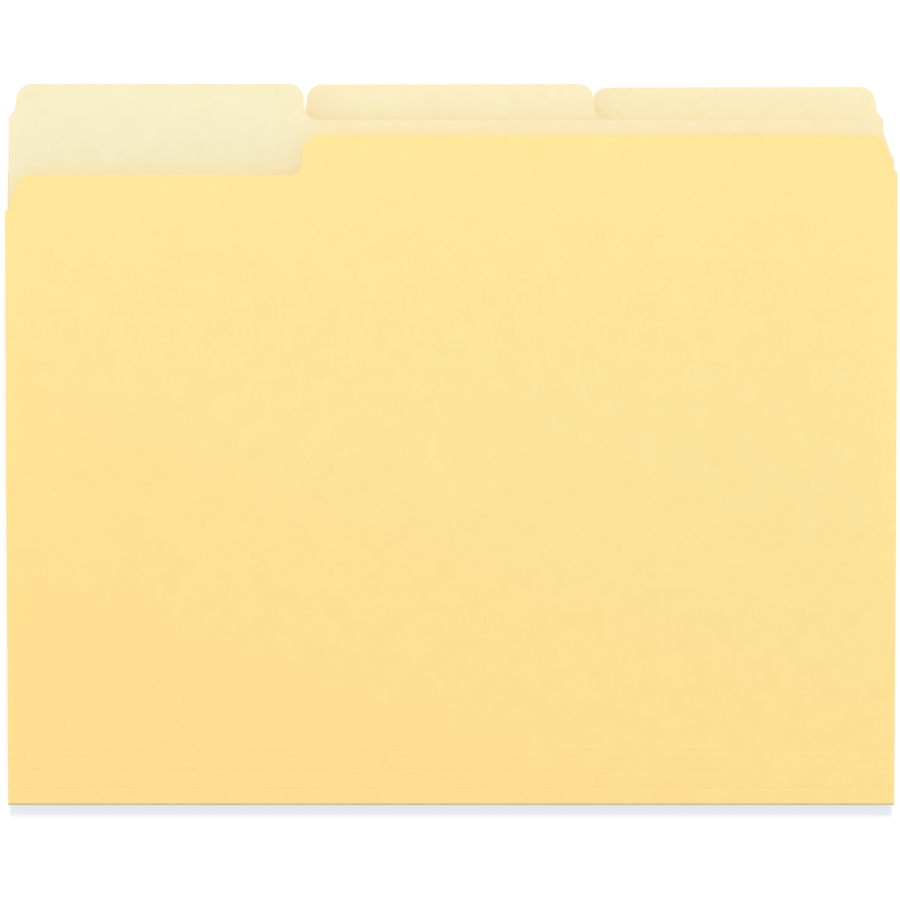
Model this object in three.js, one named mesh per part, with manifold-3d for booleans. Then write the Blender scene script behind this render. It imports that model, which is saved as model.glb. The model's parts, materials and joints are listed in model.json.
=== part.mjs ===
// A set of three letter-size file folders, third cut, lying closed on each other.
//
// Each folder is one die-cut sheet of card: a back panel with a raised tab, a rolled crease
// along the closed edge, and a shorter front panel that is undercut below the tab. The tabs
// stand at the right on the rear folder, in the middle on the middle one and at the left on
// the front one. Millimetres. +X runs along the closed edge, +Y from it to the tabs, +Z up.

import * as THREE from 'three';
import { mergeVertices } from 'three/addons/utils/BufferGeometryUtils.js';
import Module from 'manifold-3d';

const wasm = await Module();
wasm.setup();

// Sheet
const CARD = 0.3;
const FOLDER_WIDTH = 298.45;

// Heights above the outside of the closed edge
const BACK_HEIGHT = 230.8;
const TAB_RISE = 12.25;
const FRONT_HEIGHT = 224.65;
const UNDERCUT_DEPTH = 13.0;

// The tabs share the width: three positions, one for each folder. A tab that isn't at a side
// is cut a little narrower at both ends, so that its neighbours' ends show clear of it.
const TAB_POSITIONS = 3;
const INNER_TAB_INSET = 1.0;

// Ends of the tabs and of the undercut: a leaning step with a rounded foot and head
const STEP_LEAN = 0.6;
const TAB_STEP = { foot: 5.0, head: 5.0 };
const UNDERCUT_STEP = { foot: 3.2, head: 5.0 };

// Outer top corners: a rounded corner, a leaning side and a small notch out to full width
const TAB_CORNER = { topInset: 3.3, radius: 5.8, notchInset: 2.1, notchStart: 8.8, notchEnd: 11.6 };
const BODY_CORNER = { topInset: 4.9, radius: 5.5, notchInset: 1.0, notchStart: 11.5, notchEnd: 12.6 };

// Rolled crease: the clear space that it keeps between the panels, and its straight legs
const FOLD_GAP = 0.6;
const CREASE_LEG = 1.0;
const CREASE_SLIT = 0.3;

// Score lines pressed into the foot of the front panel, for squaring the bottom
const SCORE_COUNT = 3;
const SCORE_FIRST = 5.4;
const SCORE_PITCH = 6.4;
const SCORE_WIDTH = 1.3;
const SCORE_DEPTH = 0.12;
const SCORE_BEAD = 0.09;

// How the folders lie: the clearance between two, and for each one its tab's place, how far
// its front panel stands open, and how far it has slid and turned on the one below
const FOLDER_CLEARANCE = 0.3;
const FOLDERS = [
  { name: 'rear', tab: 2, openDegrees: 1.3, slideX: 0, slideY: 0, turnDegrees: 0.2 },
  { name: 'middle', tab: 1, openDegrees: 1.5, slideX: 0.54, slideY: 0.1, turnDegrees: -0.1 },
  { name: 'front', tab: 0, openDegrees: 1.7, slideX: -0.06, slideY: -1.0, turnDegrees: -0.1 },
];

// Facets along each rounded corner, and along the crease's roll
const CORNER_FACETS = 8;
const ROLL_FACETS = 12;

const INSIDE_COLOUR = '#f7ecc2';
const OUTSIDE_COLOUR = '#fde398';
const CARD_ROUGHNESS = 0.82;

// Worked out from the sizes above
const ROLL_INNER = FOLD_GAP / 2;
const ROLL_OUTER = ROLL_INNER + CARD;
const AXIS_HEIGHT = ROLL_OUTER;
const PANEL_FOOT = CREASE_LEG + CREASE_SLIT;
const TAB_WIDTH = FOLDER_WIDTH / TAB_POSITIONS;
const HALF_WIDTH = FOLDER_WIDTH / 2;

// Distance from the crease's axis of a line at this height above the outside of the closed edge
function fromAxis(height) {
  return height - ROLL_OUTER;
}

// A closed outline through corners [x, y, radius], listed anticlockwise. A corner with a
// radius is rounded by an arc that touches both of its sides.
function roundedOutline(corners) {
  const shape = new THREE.Shape();
  corners.forEach(([x, y, radius], i) => {
    const corner = new THREE.Vector2(x, y);
    if (radius === 0) {
      i === 0 ? shape.moveTo(x, y) : shape.lineTo(x, y);
      return;
    }
    const before = corners.at(i - 1);
    const after = corners[(i + 1) % corners.length];
    const back = new THREE.Vector2(before[0], before[1]).sub(corner).normalize();
    const ahead = new THREE.Vector2(after[0], after[1]).sub(corner).normalize();
    const halfAngle = Math.acos(back.dot(ahead)) / 2;
    const start = corner.clone().addScaledVector(back, radius / Math.tan(halfAngle));
    const toCentre = back.clone().add(ahead).normalize();
    const centre = corner.clone().addScaledVector(toCentre, radius / Math.sin(halfAngle));
    const end = corner.clone().addScaledVector(ahead, radius / Math.tan(halfAngle));
    const turnsRight = back.cross(ahead) > 0;
    shape.lineTo(start.x, start.y);
    shape.absarc(
      centre.x,
      centre.y,
      radius,
      Math.atan2(start.y - centre.y, start.x - centre.x),
      Math.atan2(end.y - centre.y, end.x - centre.x),
      turnsRight,
    );
  });
  return shape;
}

// The corners of an outer top corner, from the full width of the side up to the top edge
function outerCorner(side, top, form) {
  const edge = side * HALF_WIDTH;
  return [
    [edge, top - form.notchEnd, 0],
    [edge - side * form.notchInset, top - form.notchStart, 0],
    [edge - side * form.topInset, top, form.radius],
  ];
}

// The outline of a panel whose top edge is at one level, except over the tab's position,
// where it is higher (a tab) or lower (an undercut). Going anticlockwise, the top edge runs
// from right to left.
function panelOutline(tab, top, tabTop, tabCorner, step) {
  const levels = Array.from({ length: TAB_POSITIONS }, (_, i) => (i === tab ? tabTop : top));
  const form = (i) => (i === tab ? tabCorner : BODY_CORNER);
  const last = TAB_POSITIONS - 1;
  const inset = tab > 0 && tab < last ? INNER_TAB_INSET : 0;
  const corners = [
    [-HALF_WIDTH, PANEL_FOOT, 0],
    [HALF_WIDTH, PANEL_FOOT, 0],
    ...outerCorner(1, levels[last], form(last)),
  ];
  for (let i = last; i > 0; i -= 1) {
    if (levels[i] !== levels[i - 1]) {
      const x = i * TAB_WIDTH - HALF_WIDTH + (i === tab ? inset : -inset);
      const radius = (level, other) => (level > other ? step.head : step.foot);
      corners.push([x + STEP_LEAN, levels[i], radius(levels[i], levels[i - 1])]);
      corners.push([x - STEP_LEAN, levels[i - 1], radius(levels[i - 1], levels[i])]);
    }
  }
  corners.push(...outerCorner(-1, levels[0], form(0)).reverse());
  return roundedOutline(corners);
}

// A prism over an outline in the XY plane, between two heights
function prism(outline, from, to) {
  const geometry = new THREE.ExtrudeGeometry(outline, {
    depth: to - from,
    bevelEnabled: false,
    curveSegments: CORNER_FACETS,
  });
  return geometry.translate(0, 0, from);
}

// A bar along X, centred, whose section is drawn with its x along +Y and its y along +Z
function barAlongWidth(section, length, facets) {
  const geometry = new THREE.ExtrudeGeometry(section, {
    depth: length,
    bevelEnabled: false,
    curveSegments: facets,
  });
  geometry.translate(0, 0, -length / 2);
  return geometry.applyMatrix4(
    new THREE.Matrix4().makeBasis(
      new THREE.Vector3(0, 1, 0),
      new THREE.Vector3(0, 0, 1),
      new THREE.Vector3(1, 0, 0),
    ),
  );
}

// A three.js geometry as a solid for joining and cutting
function toSolid(geometry) {
  const bare = geometry.clone();
  bare.deleteAttribute('normal');
  bare.deleteAttribute('uv');
  const merged = mergeVertices(bare);
  const vertProperties = new Float32Array(merged.attributes.position.array);
  const triVerts = new Uint32Array(merged.index.array);
  return new wasm.Manifold(new wasm.Mesh({ numProp: 3, vertProperties, triVerts }));
}

// A solid back as a three.js geometry
function toGeometry(solid) {
  const mesh = solid.getMesh();
  const geometry = new THREE.BufferGeometry();
  geometry.setAttribute('position', new THREE.BufferAttribute(mesh.vertProperties, 3));
  geometry.setIndex(new THREE.BufferAttribute(mesh.triVerts, 1));
  geometry.computeVertexNormals();
  return geometry;
}

// The back panel lies flat, its underside at Z = 0
function backPanel(tab) {
  const top = fromAxis(BACK_HEIGHT);
  const outline = panelOutline(tab, top, top + TAB_RISE, TAB_CORNER, TAB_STEP);
  return prism(outline, 0, CARD);
}

// The front panel's section: flat card with a shallow groove pressed into its outside at each
// score line, and the bead that the same rule raises on the inside. Height 0 is the crease's
// axis.
function scoredSection() {
  const inside = ROLL_INNER;
  const outside = ROLL_OUTER;
  const foot = PANEL_FOOT;
  const top = fromAxis(FRONT_HEIGHT);
  const scores = Array.from({ length: SCORE_COUNT }, (_, i) => fromAxis(SCORE_FIRST + i * SCORE_PITCH));
  const section = new THREE.Shape();
  section.moveTo(foot, inside);
  for (const y of scores) {
    section.lineTo(y - SCORE_WIDTH / 2, inside);
    section.quadraticCurveTo(y, inside - 2 * SCORE_BEAD, y + SCORE_WIDTH / 2, inside);
  }
  section.lineTo(top, inside);
  section.lineTo(top, outside);
  for (const y of scores.toReversed()) {
    section.lineTo(y + SCORE_WIDTH / 2, outside);
    section.quadraticCurveTo(y, outside - 2 * SCORE_DEPTH, y - SCORE_WIDTH / 2, outside);
  }
  section.lineTo(foot, outside);
  section.closePath();
  return section;
}

// The front panel: the scored card cut to its outline by one stroke of the die
function frontPanel(tab) {
  const top = fromAxis(FRONT_HEIGHT);
  const outline = panelOutline(tab, top, top - UNDERCUT_DEPTH, BODY_CORNER, UNDERCUT_STEP);
  const die = toSolid(prism(outline, -ROLL_OUTER, 2 * ROLL_OUTER));
  const sheet = toSolid(barAlongWidth(scoredSection(), 2 * FOLDER_WIDTH, CORNER_FACETS));
  return toGeometry(die.intersect(sheet));
}

// The rolled crease: the card turns round the axis from the back panel, below, to the front
// panel, which stands open by a small angle, and ends in a short straight leg on each side
function crease(open) {
  const legEnd = (radius) => [
    -radius * Math.sin(open) + CREASE_LEG * Math.cos(open),
    AXIS_HEIGHT + radius * Math.cos(open) + CREASE_LEG * Math.sin(open),
  ];
  const section = new THREE.Shape();
  section.moveTo(CREASE_LEG, 0);
  section.lineTo(0, 0);
  section.absarc(0, AXIS_HEIGHT, ROLL_OUTER, -Math.PI / 2, Math.PI / 2 + open, true);
  section.lineTo(...legEnd(ROLL_OUTER));
  section.lineTo(...legEnd(ROLL_INNER));
  section.absarc(0, AXIS_HEIGHT, ROLL_INNER, Math.PI / 2 + open, -Math.PI / 2, false);
  section.lineTo(CREASE_LEG, CARD);
  section.closePath();
  return barAlongWidth(section, FOLDER_WIDTH, ROLL_FACETS);
}

function cardMesh(name, geometry, colour) {
  const material = new THREE.MeshStandardMaterial({ color: colour, roughness: CARD_ROUGHNESS, metalness: 0 });
  const mesh = new THREE.Mesh(geometry, material);
  mesh.name = name;
  return mesh;
}

// One folder: its own group, with the front panel in a group that turns about the crease's
// axis. What lies on the folder goes into that second group, on the front panel's outside.
function folder({ name, tab, openDegrees }) {
  const open = THREE.MathUtils.degToRad(openDegrees);
  const whole = new THREE.Group();
  const cover = new THREE.Group();
  cover.position.z = AXIS_HEIGHT;
  cover.rotation.x = open;
  cover.add(cardMesh(`${name}_front_panel`, frontPanel(tab), OUTSIDE_COLOUR));
  whole.add(cardMesh(`${name}_back_panel`, backPanel(tab), INSIDE_COLOUR));
  whole.add(cardMesh(`${name}_crease`, crease(open), OUTSIDE_COLOUR));
  whole.add(cover);
  return { whole, cover };
}

const folders = new THREE.Group();
let support = folders;
for (const spec of FOLDERS) {
  const { whole, cover } = folder(spec);
  const liesOnFolder = support !== folders;
  whole.position.set(spec.slideX, spec.slideY, liesOnFolder ? ROLL_OUTER + FOLDER_CLEARANCE : 0);
  whole.rotation.z = THREE.MathUtils.degToRad(spec.turnDegrees);
  support.add(whole);
  support = cover;
}

// The origin is under the middle of the set, on the surface that it lies on
folders.updateMatrixWorld(true);
const middle = new THREE.Box3().setFromObject(folders).getCenter(new THREE.Vector3());
folders.position.set(-middle.x, -middle.y, 0);

export default folders;
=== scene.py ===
"""Three letter-size, third-cut file folders of two-tone yellow card, closed, on a pale table."""

import json
import math

import bmesh
import bpy
from mathutils import Matrix, Vector


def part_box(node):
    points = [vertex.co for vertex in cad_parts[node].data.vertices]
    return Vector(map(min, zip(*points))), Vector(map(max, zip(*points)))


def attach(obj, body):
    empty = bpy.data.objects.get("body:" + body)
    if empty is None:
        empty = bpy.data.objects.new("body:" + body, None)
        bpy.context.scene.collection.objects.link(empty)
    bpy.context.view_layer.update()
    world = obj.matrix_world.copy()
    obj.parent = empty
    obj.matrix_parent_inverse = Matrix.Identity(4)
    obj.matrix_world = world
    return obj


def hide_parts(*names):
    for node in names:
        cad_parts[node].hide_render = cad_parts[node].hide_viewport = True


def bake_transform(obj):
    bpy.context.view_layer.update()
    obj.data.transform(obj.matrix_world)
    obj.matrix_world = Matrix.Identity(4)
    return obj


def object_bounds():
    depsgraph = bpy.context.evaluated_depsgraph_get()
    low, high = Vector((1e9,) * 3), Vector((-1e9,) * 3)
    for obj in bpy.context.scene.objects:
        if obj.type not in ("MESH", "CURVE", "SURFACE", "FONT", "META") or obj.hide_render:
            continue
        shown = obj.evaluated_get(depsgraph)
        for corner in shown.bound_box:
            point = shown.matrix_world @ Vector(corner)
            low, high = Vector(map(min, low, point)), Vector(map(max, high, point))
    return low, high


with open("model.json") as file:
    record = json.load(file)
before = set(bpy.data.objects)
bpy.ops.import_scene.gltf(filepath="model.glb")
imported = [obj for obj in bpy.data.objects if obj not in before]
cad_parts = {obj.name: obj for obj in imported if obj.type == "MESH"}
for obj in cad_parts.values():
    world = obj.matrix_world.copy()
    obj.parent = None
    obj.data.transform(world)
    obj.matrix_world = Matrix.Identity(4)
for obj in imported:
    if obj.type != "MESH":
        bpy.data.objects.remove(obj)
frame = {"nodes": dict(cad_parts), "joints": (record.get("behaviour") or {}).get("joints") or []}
CAD_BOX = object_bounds()

bl_info = {
    "name": "File folders",
    "version": (1, 0, 0),
    "blender": (4, 5, 0),
    "location": "3D View > Sidebar > Folders",
    "description": "Builds three closed card file folders and the table that they lie on",
    "category": "Object",
}

MM = 0.001
# The folders from the bottom of the pile to the top
FOLDERS = ("rear", "middle", "front")
JOINTS = {joint["name"]: joint for joint in frame["joints"]}


def linear(hex_colour):
    """An sRGB hex colour as linear red, green and blue."""
    channels = [int(hex_colour[i : i + 2], 16) / 255 for i in (1, 3, 5)]
    return [c / 12.92 if c <= 0.04045 else ((c + 0.055) / 1.055) ** 2.4 for c in channels]


def panel_normal(node):
    """The upward normal of a flat panel: that of its largest face."""
    faces = frame["nodes"][node].data.polygons
    normal = max(faces, key=lambda face: face.area).normal.copy()
    return normal if normal.z > 0 else -normal


def panel_place(folder, panel):
    """A panel's own frame: origin on the crease's axis, X along it, Y up the panel, Z out of it."""
    crease = JOINTS[f"{folder}_open"]
    normal = panel_normal(f"{folder}_{panel}_panel")
    along = Vector(crease["axis"]).normalized()
    up = normal.cross(along).normalized()
    place = Matrix((along, up, along.cross(up))).transposed().to_4x4()
    place.translation = Vector(crease["pos_m"])
    return place


class FOLDERS_PG_card(bpy.types.PropertyGroup):
    """The card that the folders are cut from."""

    # Painted light: the outer face's yellow at the lit end of a painted shade, away from the closed
    # edge
    outside_colour: bpy.props.FloatVectorProperty(
        name="Outside",
        description="Yellow of the card's outer face, where light has faded it a little",
        subtype="COLOR",
        default=linear("#f0de95"),
        min=0,
        max=1,
    )
    # Painted shade: the darker, deeper yellow of the outer face near the closed edge, where less
    # light falls
    outside_painted_shade_colour: bpy.props.FloatVectorProperty(
        name="Outside at the fold",
        description="Deeper yellow that the outer face keeps near the closed edge",
        subtype="COLOR",
        default=linear("#f6db8d"),
        min=0,
        max=1,
    )
    inside_colour: bpy.props.FloatVectorProperty(
        name="Inside",
        description="Cream of the card's inner face",
        subtype="COLOR",
        default=linear("#e5e5c2"),
        min=0,
        max=1,
    )
    edge_colour: bpy.props.FloatVectorProperty(
        name="Cut edge",
        description="Core of the card, where the die has cut through it",
        subtype="COLOR",
        default=linear("#efdca4"),
        min=0,
        max=1,
    )
    glow_colour: bpy.props.FloatVectorProperty(
        name="Light through",
        description="Colour of the daylight that a single thickness of the card lets through",
        subtype="COLOR",
        default=linear("#ffcf66"),
        min=0,
        max=1,
    )
    glow_share: bpy.props.FloatProperty(
        name="Share let through",
        description="Share of the light that enters each face and isn't turned back",
        default=0.2,
        min=0,
        max=1,
        subtype="FACTOR",
    )
    score_share: bpy.props.FloatProperty(
        name="Score depth",
        description="How deep the score lines show, as a share of the depth in the solids",
        default=0.16,
        min=0,
        max=1,
        subtype="FACTOR",
    )
    edge_round: bpy.props.FloatProperty(
        name="Edge round",
        description="How far the die and handling round a cut edge over",
        default=0.05 * MM,
        unit="LENGTH",
        precision=5,
    )
    cell: bpy.props.FloatProperty(
        name="Cell",
        description="Spacing of the mesh that lets a panel bow",
        default=6 * MM,
        min=2 * MM,
        unit="LENGTH",
        precision=4,
    )


class FOLDERS_PG_lie(bpy.types.PropertyGroup):
    """How far each panel bows up from flat, as card does when it lies loose."""

    bow_low: bpy.props.FloatProperty(
        name="Lower bow",
        description="Rise in the middle of the rear folder's front panel and of the panel on it",
        default=0.4 * MM,
        unit="LENGTH",
        precision=4,
    )
    bow_mid: bpy.props.FloatProperty(
        name="Middle bow",
        description="Further rise of the middle folder's front panel and of the panel on it",
        default=0.4 * MM,
        unit="LENGTH",
        precision=4,
    )
    bow_top: bpy.props.FloatProperty(
        name="Top bow",
        description="Further rise of the front folder's front panel",
        default=0.6 * MM,
        unit="LENGTH",
        precision=4,
    )
    corner_lift: bpy.props.FloatProperty(
        name="Corner lift",
        description="How far the front folder's free corners curl up",
        default=0.5 * MM,
        unit="LENGTH",
        precision=4,
    )


class FOLDERS_PG_stage(bpy.types.PropertyGroup):
    """Table, light and camera."""

    table_colour: bpy.props.FloatVectorProperty(
        name="Table",
        description="Colour that the table turns back on the card; the camera sees it as white",
        subtype="COLOR",
        default=linear("#a0a0a0"),
        min=0,
        max=1,
    )
    camera_distance: bpy.props.FloatProperty(
        name="Camera distance",
        description="Distance from the front folder's back panel",
        default=930 * MM,
        unit="LENGTH",
    )
    lens: bpy.props.FloatProperty(
        name="Lens",
        description="Focal length that frames the set",
        default=110.3,
        unit="CAMERA",
    )


def add_node(tree, kind, inputs=None, **settings):
    """A new node with its settings, its fixed values and the sockets that feed it."""
    node = tree.nodes.new(kind)
    for name, value in settings.items():
        setattr(node, name, value)
    for socket, value in (inputs or {}).items():
        if isinstance(value, bpy.types.NodeSocket):
            tree.links.new(value, node.inputs[socket])
        else:
            node.inputs[socket].default_value = value
    return node


def new_material(name):
    """An empty node material and its tree."""
    material = bpy.data.materials.get(name) or bpy.data.materials.new(name)
    material.use_nodes = True
    material.node_tree.nodes.clear()
    return material, material.node_tree


def per_metre(size_mm):
    """A texture scale whose features are about this many millimetres across."""
    return 1 / (size_mm * MM)


# Paper's surface, in real sizes. Pulp settles in clouds a few millimetres across. A single fibre
# is about 0.03 mm wide, too fine to show, so fibres are drawn as flocks, and the tooth of the
# pressed face is drawn coarser than it is
CLOUD_MM = 8
FLOCK_LENGTH_MM = 2.2
FLOCK_WIDTH_MM = 0.7
GRAIN_MM = 0.35

# How much more and less dye the thick and thin clouds hold, and how much darker and lighter
# the flocks of fibres are
CLOUD_DYE = (0.016, -0.01)
FLOCK_TONES = (0.985, 1.012)

# Nearly all of a noise pattern's values lie between these two
NOISE_LOW = 0.3
NOISE_HIGH = 0.7

# Height of the fibres over the sheet, and the share of it that the light shows
FIBRE_RELIEF_MM = 0.03
FACE_RELIEF_SHARE = 0.35
EDGE_RELIEF_SHARE = 0.6

# How much darker and lighter than its colour the torn fibre ends of a cut edge are
EDGE_TONES = (0.92, 1.04)

# Painted shade, standing in for the light falling off: how far up from the closed edges the deeper,
# darker colour reaches in the middle, and how much less far for each millimetre to the right
PAINTED_SHADE_MM = 150
PAINTED_SHADE_LEAN = 0.33

# Light caught between two sheets takes on the card's yellow at each bounce, over more bounces
# than a render shows. So the inner face turns bounced light this much warmer than its own cream
BOUNCE_TINT = (1.22, 1, 0.41)

# Card's index of refraction, and how matt and how shiny its faces and its cut edge are. The
# outer face is pressed a little smoother than the inner one
CARD_IOR = 1.45
OUTSIDE_ROUGHNESS = 0.72
INSIDE_ROUGHNESS = 0.78
EDGE_ROUGHNESS = 0.95
FACE_SHINE = 0.35
EDGE_SHINE = 0.2

WHITE = (1, 1, 1)

# How much red, green and blue light the yellow dye takes away, set against one another
DYE_PULL = (0.6, 1, 2)


def shade(colour, factor):
    """A colour made lighter or darker, as red, green, blue and alpha."""
    return [min(1, channel * factor) for channel in colour] + [1]


def dyed(colour, amount):
    """A colour with more or less of the yellow dye, as red, green, blue and alpha."""
    return [channel * (1 - pull * amount) for channel, pull in zip(colour, DYE_PULL)] + [1]


def warmed_by_bounces(tree, colour):
    """The colour, made warmer for light that has already bounced off a matt face."""
    path = add_node(tree, "ShaderNodeLightPath")
    warmth = add_node(
        tree,
        "ShaderNodeMix",
        {0: path.outputs["Is Diffuse Ray"], 6: [*WHITE, 1], 7: [*BOUNCE_TINT, 1]},
        data_type="RGBA",
    )
    warmed = add_node(
        tree,
        "ShaderNodeVectorMath",
        {0: colour, 1: warmth.outputs[2]},
        operation="MULTIPLY",
    )
    return warmed.outputs[0]


def pulp_clouds(tree, place):
    """The faint clouds of unevenly settled pulp, as a colour to multiply by."""
    cloud = add_node(
        tree,
        "ShaderNodeTexNoise",
        {"Vector": place, "Scale": per_metre(CLOUD_MM), "Detail": 3, "Roughness": 0.55},
    )
    thinness = add_node(
        tree,
        "ShaderNodeMapRange",
        {
            "Value": cloud.outputs["Fac"],
            "From Min": NOISE_LOW,
            "From Max": NOISE_HIGH,
            "To Min": 0,
            "To Max": 1,
        },
    )
    clouds = add_node(
        tree,
        "ShaderNodeMix",
        {0: thinness.outputs[0], 6: dyed(WHITE, CLOUD_DYE[0]), 7: dyed(WHITE, CLOUD_DYE[1])},
        data_type="RGBA",
    )
    return clouds.outputs[2]


def fibre_flocks(tree, place):
    """A pattern drawn out along the sheet, the way that most of its fibres lie."""
    grain_way = add_node(
        tree,
        "ShaderNodeMapping",
        {"Vector": place, "Scale": (1, FLOCK_WIDTH_MM / FLOCK_LENGTH_MM, 1)},
    )
    flock = add_node(
        tree,
        "ShaderNodeTexNoise",
        {
            "Vector": grain_way.outputs[0],
            "Scale": per_metre(FLOCK_WIDTH_MM),
            "Detail": 4,
            "Roughness": 0.6,
        },
    )
    return flock.outputs["Fac"]


def painted_shade_gradient(tree, place, colour, shaded_colour):
    """The face's colour with painted shade, deeper and darker towards the closed edge and the left
    side.
    """
    leaning_height = add_node(
        tree,
        "ShaderNodeVectorMath",
        {0: place, 1: (PAINTED_SHADE_LEAN, 1, 0)},
        operation="DOT_PRODUCT",
    )
    lit_share = add_node(
        tree,
        "ShaderNodeMapRange",
        {
            "Value": leaning_height.outputs["Value"],
            "From Min": CAD_BOX[0].y,
            "From Max": CAD_BOX[0].y + PAINTED_SHADE_MM * MM,
            "To Min": 0,
            "To Max": 1,
        },
        interpolation_type="SMOOTHSTEP",
    )
    brightened = add_node(
        tree,
        "ShaderNodeMix",
        {0: lit_share.outputs[0], 6: [*shaded_colour, 1], 7: [*colour, 1]},
        data_type="RGBA",
    )
    return brightened.outputs[2]


def pressed_relief(tree, place, flocks):
    """The low relief that the rolls leave: flocks of fibres, and a fine tooth over them."""
    tooth = add_node(
        tree,
        "ShaderNodeTexNoise",
        {"Vector": place, "Scale": per_metre(GRAIN_MM), "Detail": 3, "Roughness": 0.6},
    )
    height = add_node(
        tree,
        "ShaderNodeMath",
        {0: flocks, 1: tooth.outputs["Fac"]},
        operation="ADD",
    )
    bump = add_node(
        tree,
        "ShaderNodeBump",
        {
            "Height": height.outputs[0],
            "Strength": FACE_RELIEF_SHARE,
            "Distance": FIBRE_RELIEF_MM * MM,
        },
    )
    return bump.outputs[0]


def card_face(name, colour, shaded_colour, roughness, card, inner=False):
    """Calendered card stock: pulp laid on a wire and pressed between rolls.

    The pulp settles unevenly, which the eye sees as faint clouds; fibres lie mostly along the
    sheet, and the rolls leave a matt face with a very fine tooth. The card is thin enough to let
    a little light through, which comes out a deeper yellow.
    """
    material, tree = new_material(name)
    place = add_node(tree, "ShaderNodeTexCoord").outputs["Object"]
    flocks = fibre_flocks(tree, place)
    # The face's colour carries painted shade, darker towards the closed edge and the left side
    clouded = add_node(
        tree,
        "ShaderNodeVectorMath",
        {0: painted_shade_gradient(tree, place, colour, shaded_colour), 1: pulp_clouds(tree, place)},
        operation="MULTIPLY",
    )
    flecks = add_node(
        tree,
        "ShaderNodeMapRange",
        {
            "Value": flocks,
            "From Min": NOISE_LOW,
            "From Max": NOISE_HIGH,
            "To Min": FLOCK_TONES[0],
            "To Max": FLOCK_TONES[1],
        },
    )
    surface_colour = add_node(
        tree,
        "ShaderNodeVectorMath",
        {0: clouded.outputs[0], 1: flecks.outputs[0]},
        operation="MULTIPLY",
    ).outputs[0]
    if inner:
        surface_colour = warmed_by_bounces(tree, surface_colour)
    shader = add_node(
        tree,
        "ShaderNodeBsdfPrincipled",
        {
            "Base Color": surface_colour,
            "Roughness": roughness,
            "IOR": CARD_IOR,
            "Specular IOR Level": FACE_SHINE,
            "Normal": pressed_relief(tree, place, flocks),
        },
    )
    through = add_node(tree, "ShaderNodeBsdfTranslucent", {"Color": [*card.glow_colour, 1]})
    sheet = add_node(
        tree,
        "ShaderNodeMixShader",
        {0: card.glow_share, 1: shader.outputs[0], 2: through.outputs[0]},
    )
    add_node(tree, "ShaderNodeOutputMaterial", {"Surface": sheet.outputs[0]})
    return material


def cut_edge(name, colour):
    """Die-cut edge of card stock: torn fibre ends, so it is dull, soft and a little uneven."""
    material, tree = new_material(name)
    place = add_node(tree, "ShaderNodeTexCoord").outputs["Object"]
    fibre = add_node(
        tree,
        "ShaderNodeTexNoise",
        {"Vector": place, "Scale": per_metre(GRAIN_MM), "Detail": 4},
    )
    tone = add_node(
        tree,
        "ShaderNodeMix",
        {0: fibre.outputs["Fac"], 6: shade(colour, EDGE_TONES[0]), 7: shade(colour, EDGE_TONES[1])},
        data_type="RGBA",
    )
    bump = add_node(
        tree,
        "ShaderNodeBump",
        {
            "Height": fibre.outputs["Fac"],
            "Strength": EDGE_RELIEF_SHARE,
            "Distance": FIBRE_RELIEF_MM * MM,
        },
    )
    shader = add_node(
        tree,
        "ShaderNodeBsdfPrincipled",
        {
            "Base Color": tone.outputs[2],
            "Roughness": EDGE_ROUGHNESS,
            "IOR": CARD_IOR,
            "Specular IOR Level": EDGE_SHINE,
            "Normal": bump.outputs[0],
        },
    )
    add_node(tree, "ShaderNodeOutputMaterial", {"Surface": shader.outputs[0]})
    return material


# The material slots of every piece
OUTSIDE, INSIDE, EDGE = range(3)


def card_materials(card):
    """The three finishes of a folder's sheet, in the order of the slots."""
    return [
        # The outer face's two colours are the lit and the painted-shade ends of one gradient
        card_face(
            "calendered_card_outside",
            card.outside_colour,
            card.outside_painted_shade_colour,
            OUTSIDE_ROUGHNESS,
            card,
        ),
        card_face(
            "calendered_card_inside",
            card.inside_colour,
            card.inside_colour,
            INSIDE_ROUGHNESS,
            card,
            inner=True,
        ),
        cut_edge("die_cut_card_edge", card.edge_colour),
    ]


# The share of its bow that a panel loses at its sides, and how closely the curl keeps to the
# free corners
SIDE_DROP = 0.25
CURL_POWER = 4


def height_share(y):
    """How far up the set a point lies, from 0 at the closed edges to 1 at the tabs."""
    low, high = CAD_BOX[0].y, CAD_BOX[1].y
    return min(max((y - low) / (high - low), 0), 1)


def side_share(x):
    """How far out from the middle a point lies, from 0 to 1 at the sides."""
    return min(abs(x) / CAD_BOX[1].x, 1)


def rise(lie, level, point):
    """How far the card at this level of the pile has bowed up from flat, at a point on it.

    Card on card shares one bow, so a panel and the one lying on it stay clear of each other.
    """
    amount = sum((0, lie.bow_low, lie.bow_mid, lie.bow_top)[: level + 1])
    up, out = height_share(point.y), side_share(point.x)
    bow = amount * math.sin(math.pi * up) * (1 - SIDE_DROP * out**2)
    curl = lie.corner_lift * level / len(FOLDERS) * (up * out) ** CURL_POWER
    return bow + curl


# How near vertices lie to count as one, as on a cut, and as on an end of the panel
TOUCHING = 0.001 * MM
NEAR_CUT = 0.01 * MM
NEAR_END = 0.05 * MM

# Faces that meet at less than the first angle are one flat face, at more than the second are
# smooth no longer, and at more than the third form the rim of the sheet
FLAT_WITHIN = math.radians(0.5)
SHARP_FROM = math.radians(40)
RIM_FROM = math.radians(60)

# A face whose normal rises or falls by more than this is a face of the card, not its cut edge
FACE_SLOPE = 0.7


def cut_into_cells(mesh, cell):
    """Cuts a flat panel along a square grid, so that it can bow smoothly."""
    for axis in (Vector((1, 0, 0)), Vector((0, 1, 0))):
        reach = [vertex.co.dot(axis) for vertex in mesh.verts]
        first = math.ceil(min(reach) / cell)
        last = math.floor(max(reach) / cell)
        for step in range(first, last + 1):
            bmesh.ops.bisect_plane(
                mesh,
                geom=mesh.verts[:] + mesh.edges[:] + mesh.faces[:],
                dist=NEAR_CUT,
                plane_co=axis * step * cell,
                plane_no=axis,
            )


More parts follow.
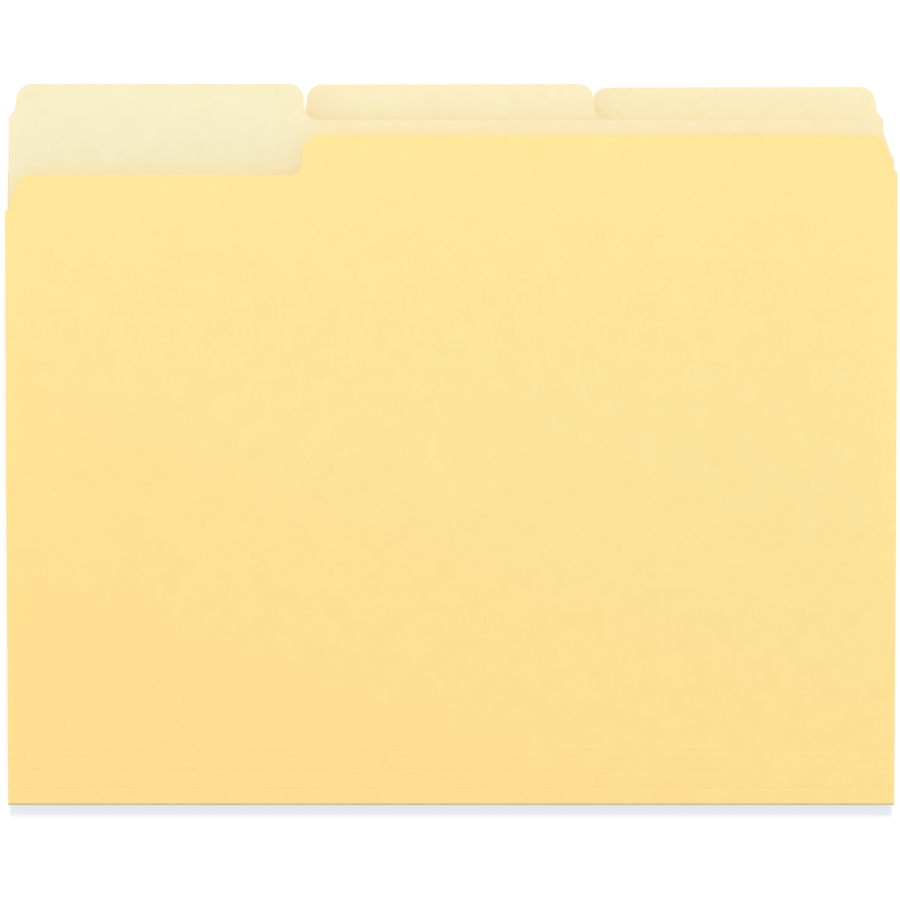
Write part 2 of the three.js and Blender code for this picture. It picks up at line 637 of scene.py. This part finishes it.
def round_rim(mesh, amount):
    """Rounds the rim over a little, where the die has pressed it and hands have worn it."""
    rim = [edge for edge in mesh.edges if edge.is_manifold and edge.calc_face_angle() > RIM_FROM]
    bmesh.ops.bevel(
        mesh,
        geom=rim,
        offset=amount,
        offset_type="OFFSET",
        segments=2,
        profile=0.5,
        affect="EDGES",
        clamp_overlap=True,
    )
    bmesh.ops.dissolve_degenerate(mesh, dist=TOUCHING, edges=mesh.edges)


def object_from(mesh, name, materials):
    """A new object in the scene from a finished bmesh, smooth except at its sharp edges."""
    data = bpy.data.meshes.new(name)
    mesh.to_mesh(data)
    mesh.free()
    for face in data.polygons:
        face.use_smooth = True
    data.set_sharp_from_angle(angle=SHARP_FROM)
    for material in materials:
        data.materials.append(material)
    piece = bpy.data.objects.new(name, data)
    bpy.context.scene.collection.objects.link(piece)
    flats = piece.modifiers.new("keep_flats_flat", "WEIGHTED_NORMAL")
    flats.keep_sharp = True
    return piece


def fit_to_crease(mesh, score_share):
    """Runs a flat panel on to the crease's axis, and makes its score lines shallower."""
    foot = min(vertex.co.y for vertex in mesh.verts)
    top = max(vertex.co.y for vertex in mesh.verts)
    top_heights = [vertex.co.z for vertex in mesh.verts if vertex.co.y > top - NEAR_END]
    unscored = (min(top_heights), max(top_heights))
    for vertex in mesh.verts:
        if vertex.co.y < foot + NEAR_END:
            vertex.co.y = 0
        flat = min(unscored, key=lambda height: abs(height - vertex.co.z))
        vertex.co.z = flat + (vertex.co.z - flat) * score_share


def choose_slots(mesh, up_face, down_face):
    """Gives the faces of a flat panel their material slots. What looks sideways is cut edge."""
    mesh.normal_update()
    for face in mesh.faces:
        if face.normal.z > FACE_SLOPE:
            face.material_index = up_face
        elif face.normal.z < -FACE_SLOPE:
            face.material_index = down_face
        else:
            face.material_index = EDGE


def panel_sheet(folder, panel, level, materials, up_face, down_face):
    """One panel of a folder: the frame's solid with its rim rounded, bowed as card is."""
    card = bpy.context.scene.folder_card
    place = panel_place(folder, panel)
    mesh = bmesh.new()
    mesh.from_mesh(frame["nodes"][f"{folder}_{panel}_panel"].data)
    bmesh.ops.remove_doubles(mesh, verts=mesh.verts, dist=TOUCHING)
    mesh.transform(place.inverted())
    bmesh.ops.dissolve_limit(mesh, angle_limit=FLAT_WITHIN, verts=mesh.verts, edges=mesh.edges)
    fit_to_crease(mesh, card.score_share)
    cut_into_cells(mesh, card.cell)
    round_rim(mesh, card.edge_round)
    choose_slots(mesh, up_face, down_face)
    mesh.transform(place)
    for vertex in mesh.verts:
        vertex.co.z += rise(bpy.context.scene.folder_lie, level, vertex.co)
    return object_from(mesh, f"{folder}_{panel}_sheet", materials)


def fold_gap(folder):
    """The clear space that the crease keeps between the panels."""
    place = panel_place(folder, "back").inverted()
    solid = frame["nodes"][f"{folder}_back_panel"].data.vertices
    return -2 * max((place @ vertex.co).z for vertex in solid)


# Facets of a crease, round its turn and along it
ROLL_STEPS = 20
ROLL_COLUMNS = 50


def roll_mesh(below, half_width, outer, inner, turn):
    """A strip of card that turns round the crease's axis, from the back panel's side upwards.

    Each ring of vertices goes round the outer face and comes back along the inner one.
    """
    mesh = bmesh.new()
    first = -math.pi / 2
    rings = []
    for column in range(ROLL_COLUMNS + 1):
        x = half_width * (2 * column / ROLL_COLUMNS - 1)
        ring = []
        for radius, steps in ((outer, range(ROLL_STEPS + 1)), (inner, range(ROLL_STEPS, -1, -1))):
            for step in steps:
                angle = first - turn * step / ROLL_STEPS
                point = Vector((x, radius * math.cos(angle), radius * math.sin(angle)))
                ring.append(mesh.verts.new(below @ point))
        rings.append(ring)
    count = len(rings[0])
    for near, far in zip(rings, rings[1:]):
        for i in range(count):
            j = (i + 1) % count
            face = mesh.faces.new((near[i], near[j], far[j], far[i]))
            face.material_index = OUTSIDE if i < ROLL_STEPS else INSIDE
    for ring in (rings[0], rings[-1]):
        for i in range(ROLL_STEPS):
            corners = (ring[i], ring[i + 1], ring[count - 2 - i], ring[count - 1 - i])
            mesh.faces.new(corners).material_index = EDGE
    bmesh.ops.recalc_face_normals(mesh, faces=mesh.faces)
    return mesh


def crease_roll(folder, materials):
    """The card's turn from the back panel, under the axis, round to the front panel above it."""
    below = panel_place(folder, "back")
    above = panel_place(folder, "front")
    to_below = below.inverted()
    solid = [to_below @ vertex.co for vertex in frame["nodes"][f"{folder}_crease"].data.vertices]
    half_width = max(point.x for point in solid)
    outer = -min(point.y for point in solid)
    inner = fold_gap(folder) / 2
    turn = math.pi - below.col[2].xyz.angle(above.col[2].xyz)
    mesh = roll_mesh(below, half_width, outer, inner, turn)
    roll = object_from(mesh, f"{folder}_crease_roll", materials)
    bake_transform(roll)
    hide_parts(f"{folder}_crease")


class FOLDERS_OT_back_panels(bpy.types.Operator):
    """Makes the three back panels, each with its tab, cream side up"""

    bl_idname = "folders.back_panels"
    bl_label = "Back panels"

    def execute(self, context):
        for level, folder in enumerate(FOLDERS):
            materials = card_materials(context.scene.folder_card)
            sheet = panel_sheet(folder, "back", level, materials, INSIDE, OUTSIDE)
            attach(sheet, f"{folder}_back")
            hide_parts(f"{folder}_back_panel")
        return {"FINISHED"}


class FOLDERS_OT_front_panels(bpy.types.Operator):
    """Makes the three front panels, each undercut below its tab and scored along its foot"""

    bl_idname = "folders.front_panels"
    bl_label = "Front panels"

    def execute(self, context):
        for level, folder in enumerate(FOLDERS):
            materials = card_materials(context.scene.folder_card)
            sheet = panel_sheet(folder, "front", level + 1, materials, OUTSIDE, INSIDE)
            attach(sheet, f"{folder}_cover")
            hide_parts(f"{folder}_front_panel")
        return {"FINISHED"}


class FOLDERS_OT_creases(bpy.types.Operator):
    """Makes the rolled creases"""

    bl_idname = "folders.creases"
    bl_label = "Creases"

    def execute(self, context):
        for folder in FOLDERS:
            crease_roll(folder, card_materials(context.scene.folder_card))
        return {"FINISHED"}


# The table's side in metres, how far below the card its face lies, and the light that it gives
# the camera over what it turns back
TABLE_SIZE = 4.0
TABLE_GAP = 0.05 * MM
TABLE_GLOW = 0.615

# Cool light from all round, and warm light from a lamp high up beyond the tabs. Each level is
# the brightness that it gives a white card lying flat; the lamp's side and place are in metres
SKY_COLOUR = "#deecff"
SKY_LEVEL = 0.69
KEY_COLOUR = "#fff1dc"
KEY_LEVEL = 0.69
KEY_SIZE = 3.4
KEY_PLACE = Vector((0.3, 8.4, 7.3))


def tint(hex_colour):
    """A light's colour, kept at the brightness of white."""
    colour = Vector(linear(hex_colour))
    return colour * 3 / sum(colour)


def table_material(colour):
    """Matt laminate, dull and without a sheen. The camera sees it lifted until it is white."""
    material, tree = new_material("matt_white_laminate")
    path = add_node(tree, "ShaderNodeLightPath")
    seen = add_node(
        tree,
        "ShaderNodeMath",
        {0: path.outputs["Is Camera Ray"], 1: path.outputs["Is Glossy Ray"]},
        operation="MAXIMUM",
    )
    seen_through = add_node(
        tree,
        "ShaderNodeMath",
        {0: seen.outputs[0], 1: path.outputs["Is Transmission Ray"]},
        operation="MAXIMUM",
    )
    lift = add_node(
        tree,
        "ShaderNodeMath",
        {0: seen_through.outputs[0], 1: TABLE_GLOW},
        operation="MULTIPLY",
    )
    face = add_node(tree, "ShaderNodeBsdfDiffuse", {"Color": [*colour, 1]})
    glow = add_node(
        tree,
        "ShaderNodeEmission",
        {"Color": [*WHITE, 1], "Strength": lift.outputs[0]},
    )
    both = add_node(tree, "ShaderNodeAddShader", {0: face.outputs[0], 1: glow.outputs[0]})
    add_node(tree, "ShaderNodeOutputMaterial", {"Surface": both.outputs[0]})
    return material


def make_table(stage):
    """The surface that the set lies on."""
    mesh = bmesh.new()
    bmesh.ops.create_grid(mesh, x_segments=1, y_segments=1, size=TABLE_SIZE / 2)
    table = object_from(mesh, "table", [table_material(stage.table_colour)])
    table.location.z = -TABLE_GAP


def make_world():
    """Even light from all round, and plain white where the camera sees past the table."""
    world = bpy.data.worlds.new("pale_room")
    bpy.context.scene.world = world
    world.use_nodes = True
    tree = world.node_tree
    tree.nodes.clear()
    path = add_node(tree, "ShaderNodeLightPath")
    light = add_node(
        tree,
        "ShaderNodeBackground",
        {"Color": [*tint(SKY_COLOUR), 1], "Strength": SKY_LEVEL},
    )
    white = add_node(tree, "ShaderNodeBackground", {"Color": [*WHITE, 1], "Strength": 1})
    mixed = add_node(
        tree,
        "ShaderNodeMixShader",
        {0: path.outputs["Is Camera Ray"], 1: light.outputs[0], 2: white.outputs[0]},
    )
    add_node(tree, "ShaderNodeOutputWorld", {"Surface": mixed.outputs[0]})


def make_key_light():
    """A large soft lamp that gives a white card lying flat a brightness of KEY_LEVEL."""
    lamp = bpy.data.lights.new("key_light", "AREA")
    lamp.shape = "SQUARE"
    lamp.size = KEY_SIZE
    lamp.color = tint(KEY_COLOUR)
    distance = KEY_PLACE.length
    lamp.energy = KEY_LEVEL * (math.pi * distance) ** 2 / (KEY_PLACE.z / distance)
    holder = bpy.data.objects.new("key_light", lamp)
    holder.location = KEY_PLACE
    holder.rotation_euler = KEY_PLACE.to_track_quat("Z", "Y").to_euler()
    bpy.context.scene.collection.objects.link(holder)


# Where the camera aims, from the middle of the front folder's back panel, and its sensor's width
AIM_OFFSET = Vector((-0.4 * MM, -2.9 * MM))
SENSOR_MM = 36


def make_camera(stage):
    """Square above the front folder's back panel, as the photograph is taken."""
    place = panel_place("front", "back")
    low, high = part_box("front_back_panel")
    centre = (low + high) / 2
    right, up, back = (place.col[i].xyz for i in range(3))
    camera = bpy.data.cameras.new("camera")
    camera.lens = stage.lens
    camera.sensor_width = SENSOR_MM
    holder = bpy.data.objects.new("camera", camera)
    aim = centre + right * AIM_OFFSET.x + up * AIM_OFFSET.y
    turn = Matrix((right, up, back)).transposed().to_4x4()
    holder.matrix_world = Matrix.Translation(aim + back * stage.camera_distance) @ turn
    bpy.context.scene.collection.objects.link(holder)
    bpy.context.scene.camera = holder


class FOLDERS_OT_stage(bpy.types.Operator):
    """Makes the table, the lights and the camera"""

    bl_idname = "folders.stage"
    bl_label = "Stage"

    def execute(self, context):
        context.scene.view_settings.view_transform = "Standard"
        make_camera(context.scene.folder_stage)
        make_table(context.scene.folder_stage)
        make_world()
        make_key_light()
        return {"FINISHED"}


class FOLDERS_PT_panel(bpy.types.Panel):
    """Lists the sizes, the colours and the steps that build the set"""

    bl_label = "File folders"
    bl_idname = "FOLDERS_PT_panel"
    bl_space_type = "VIEW_3D"
    bl_region_type = "UI"
    bl_category = "Folders"

    def draw(self, context):
        for group in SETTINGS:
            settings = getattr(context.scene, group)
            for name in settings.__annotations__:
                self.layout.prop(settings, name)
        for step in STEPS:
            self.layout.operator(step.bl_idname)


SETTINGS = {
    "folder_card": FOLDERS_PG_card,
    "folder_lie": FOLDERS_PG_lie,
    "folder_stage": FOLDERS_PG_stage,
}
STEPS = (
    FOLDERS_OT_stage,
    FOLDERS_OT_back_panels,
    FOLDERS_OT_creases,
    FOLDERS_OT_front_panels,
)


def register():
    """Registers the settings, the operators and the panel."""
    for group, kind in SETTINGS.items():
        bpy.utils.register_class(kind)
        setattr(bpy.types.Scene, group, bpy.props.PointerProperty(type=kind))
    for kind in (*STEPS, FOLDERS_PT_panel):
        bpy.utils.register_class(kind)


def unregister():
    """Takes everything that register added out again."""
    for kind in (FOLDERS_PT_panel, *reversed(STEPS)):
        bpy.utils.unregister_class(kind)
    for group, kind in reversed(SETTINGS.items()):
        delattr(bpy.types.Scene, group)
        bpy.utils.unregister_class(kind)


def main():
    """Builds the whole scene."""
    register()
    bpy.ops.folders.stage()
    bpy.ops.folders.back_panels()
    bpy.ops.folders.creases()
    bpy.ops.folders.front_panels()


if __name__ == "__main__":
    main()
